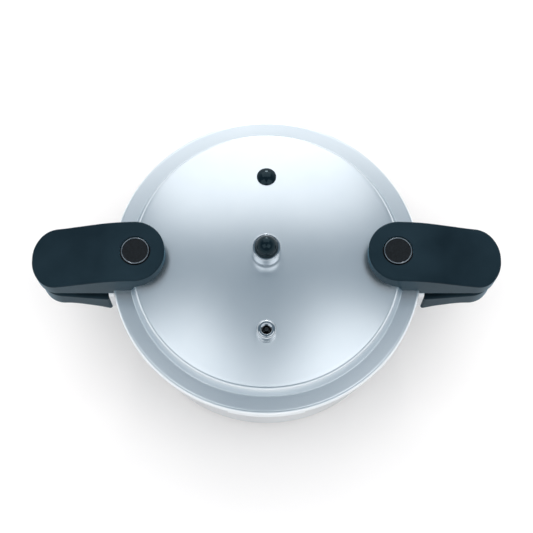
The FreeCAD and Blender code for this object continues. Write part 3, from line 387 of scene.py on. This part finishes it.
def regulator_knob():
    """Smooth dome on its collar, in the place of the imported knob."""
    low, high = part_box("regulator_knob")
    collar = high[0]
    shelf = low[2] + KNOB_COLLAR_HEIGHT
    neck = shelf + KNOB_NECK_RISE
    spring_line = neck + KNOB_NECK_RISE
    corners = [(collar, low[2], 0), (collar, shelf, KNOB_COLLAR_EDGE)]
    corners += [(KNOB_RADIUS, neck, KNOB_NECK_FILLET), (KNOB_RADIUS, spring_line, 0)]
    profile = rounded(corners)
    rise = high[2] - spring_line
    for step in range(1, KNOB_DOME_STEPS):
        angle = math.pi / 2 * step / KNOB_DOME_STEPS
        profile.append(Vector((KNOB_RADIUS * math.cos(angle), spring_line + rise * math.sin(angle))))
    mesh = spun(profile, KNOB_COLUMNS, closed_top=high[2])
    knob = piece("regulator_knob_dome", mesh, MATERIALS["knob_plastic"], "regulator")
    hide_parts("regulator_knob")


def spun(profile, count, closed_top):
    """Lathe of a profile from its foot upwards, closed by a flat foot and a point at the top."""
    mesh = bmesh.new()
    rings = [lathe_ring(mesh, point, count) for point in profile]
    for lower, upper in zip(rings[:-1], rings[1:]):
        strip(mesh, lower, upper)
    tip = mesh.verts.new((0.0, 0.0, closed_top))
    for index in range(count):
        mesh.faces.new((rings[-1][index], rings[-1][(index + 1) % count], tip))
    mesh.faces.new(rings[0])
    return mesh


def valve_spring():
    """Coil over the valve's pin, closed at both ends."""
    low, high = (Vector(corner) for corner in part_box("safety_valve_spring"))
    wire = VALVE_SPRING_WIRE / 2
    centre = (low + high) / 2
    radius = (high.x - low.x) / 2 - wire
    mesh = bmesh.new()
    count = VALVE_SPRING_TURNS * SPRING_TURN_STEPS
    rings = []
    for index in range(count + 1):
        angle = 2 * math.pi * index / SPRING_TURN_STEPS
        height = low.z + wire + (high.z - low.z - 2 * wire) * index / count
        ring = []
        for step in range(SPRING_AROUND):
            turn = 2 * math.pi * step / SPRING_AROUND
            reach = radius + wire * math.cos(turn)
            x = centre.x + reach * math.cos(angle)
            y = centre.y + reach * math.sin(angle)
            ring.append(mesh.verts.new((x, y, height + wire * math.sin(turn))))
        rings.append(ring)
    for first, second in zip(rings[:-1], rings[1:]):
        strip(mesh, first, second)
    mesh.faces.new(rings[0])
    mesh.faces.new(rings[-1])
    coil = piece("valve_spring_coil", mesh, MATERIALS["dark_steel"], "lid")
    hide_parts("safety_valve_spring")
    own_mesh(coil)


def add_tooth(mesh, middle):
    """Inward tooth at the foot of the skirt, as a closed bent bar with softened inner edges."""
    outer = LID_RADIUS - LID_GAUGE / 2
    eased = TOOTH_INNER + TOOTH_EASE
    section = [(outer, SKIRT_LOW), (eased, SKIRT_LOW), (TOOTH_INNER, SKIRT_LOW + TOOTH_EASE)]
    section += [(TOOTH_INNER, TOOTH_TOP - TOOTH_EASE), (eased, TOOTH_TOP), (outer, TOOTH_TOP)]
    rows = []
    for degrees in range(-TOOTH_HALF_DEGREES, TOOTH_HALF_DEGREES + 1):
        angle = math.radians(middle + degrees)
        rows.append([mesh.verts.new((r * math.cos(angle), r * math.sin(angle), z)) for r, z in section])
    for first, second in zip(rows[:-1], rows[1:]):
        strip(mesh, first, second)
    mesh.faces.new(rows[0])
    mesh.faces.new(rows[-1])


def dress_cad_nodes():
    """Give each CAD node the finish of its slot; the badge rings get a darker copy of the chrome, which is
    painted shade.
    """
    for part in frame["record"]["subparts"]:
        node = frame["nodes"][part["node"]]
        node.data.materials.clear()
        node.data.materials.append(MATERIALS[part["material_slot"]])
    # Badge rings: the darker chrome copy, painted shade standing in for their dark reflections
    for side in ("right", "left"):
        ring = frame["nodes"][side + "_badge_ring"].data.materials
        ring.clear()
        ring.append(RING_PAINTED_SHADE_CHROME)


# ---------------------------------------------------------------- studio

def floor():
    """Pale floor that glows faintly far away, where little of the lamps' light reaches it."""
    mesh = bmesh.new()
    corners = ((-1, -1), (1, -1), (1, 1), (-1, 1))
    mesh.faces.new([mesh.verts.new((x * FLOOR_HALF, y * FLOOR_HALF, -FLOOR_DROP)) for x, y in corners])
    data = bpy.data.meshes.new("studio_floor")
    mesh.to_mesh(data)
    mesh.free()
    ground = bpy.data.objects.new("studio_floor", data)
    bpy.context.scene.collection.objects.link(ground)
    material, tree, shader = new_material("studio_floor")
    colour(tree, shader, noise(tree, scale=3.0), dark=(0.955, 0.905, 0.875), light=(0.965, 0.915, 0.885))
    shader.inputs["Roughness"].default_value = 0.9
    shader.inputs["Specular IOR Level"].default_value = 0.1
    place = add(tree, "ShaderNodeTexCoord")
    away = add(tree, "ShaderNodeVectorMath", operation="LENGTH")
    tree.links.new(place.outputs["Object"], away.inputs[0])
    glow = add(tree, "ShaderNodeMapRange", interpolation_type="SMOOTHSTEP")
    tree.links.new(away.outputs["Value"], glow.inputs["Value"])
    glow.inputs["From Min"].default_value = GLOW_START
    glow.inputs["From Max"].default_value = GLOW_END
    glow.inputs["To Max"].default_value = GLOW_STRENGTH
    tree.links.new(glow.outputs["Result"], shader.inputs["Emission Strength"])
    shader.inputs["Emission Color"].default_value = (0.80, 0.88, 0.94, 1.0)
    data.materials.append(material)


def softbox(name, tilt_x, tilt_y, distance, width, height, radiance, glossy=True):
    """Rectangular lamp seen from the lid at two tilts in degrees from straight up, facing it."""
    light = bpy.data.lights.new(name, "AREA")
    light.shape = "RECTANGLE"
    light.size = width
    light.size_y = height
    light.energy = radiance * math.pi * width * height
    lamp = bpy.data.objects.new(name, light)
    slopes = [math.tan(math.radians(tilt)) for tilt in (tilt_x, tilt_y)]
    direction = Vector((*slopes, 1.0)).normalized()
    lamp.location = Vector((0.0, 0.0, LAMP_AIM_HEIGHT)) + direction * distance
    lamp.rotation_euler = direction.to_track_quat("Z", "Y").to_euler()
    lamp.visible_glossy = glossy
    bpy.context.scene.collection.objects.link(lamp)


def studio():
    """Background that is light at the horizon and blue-grey overhead, and the lamps."""
    world = bpy.data.worlds.new("studio")
    world.use_nodes = True
    tree = world.node_tree
    place = add(tree, "ShaderNodeTexCoord")
    parts = add(tree, "ShaderNodeSeparateXYZ")
    tree.links.new(place.outputs["Generated"], parts.inputs["Vector"])
    sky = tint(tree, parts.outputs["Z"], HORIZON_TINT, OVERHEAD_TINT, low=0.40, high=0.70)
    tree.links.new(sky, tree.nodes["Background"].inputs["Color"])
    bpy.context.scene.world = world
    for name, lamp in LAMPS.items():
        softbox(name, **lamp)
    bpy.context.scene.view_settings.view_transform = "Standard"


def camera():
    """Camera that looks down at the lid's rim from the front."""
    data = bpy.data.cameras.new("camera")
    data.lens = LENS
    data.sensor_width = SENSOR
    eye = bpy.data.objects.new("camera", data)
    away = Vector((0.0, -math.cos(VIEW_ELEVATION), math.sin(VIEW_ELEVATION)))
    up = Vector((0.0, math.sin(VIEW_ELEVATION), math.cos(VIEW_ELEVATION)))
    rim = Vector((0.0, 0.0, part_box("lid_shell")[1][2] - RIM_DEPTH))
    target = rim - up * VIEW_DROP
    eye.location = target + away * VIEW_DISTANCE
    eye.rotation_euler = away.to_track_quat("Z", "Y").to_euler()
    bpy.context.scene.collection.objects.link(eye)
    bpy.context.scene.camera = eye


dress_cad_nodes()
lid_shell()
regulator_knob()
valve_spring()
floor()
studio()
camera()
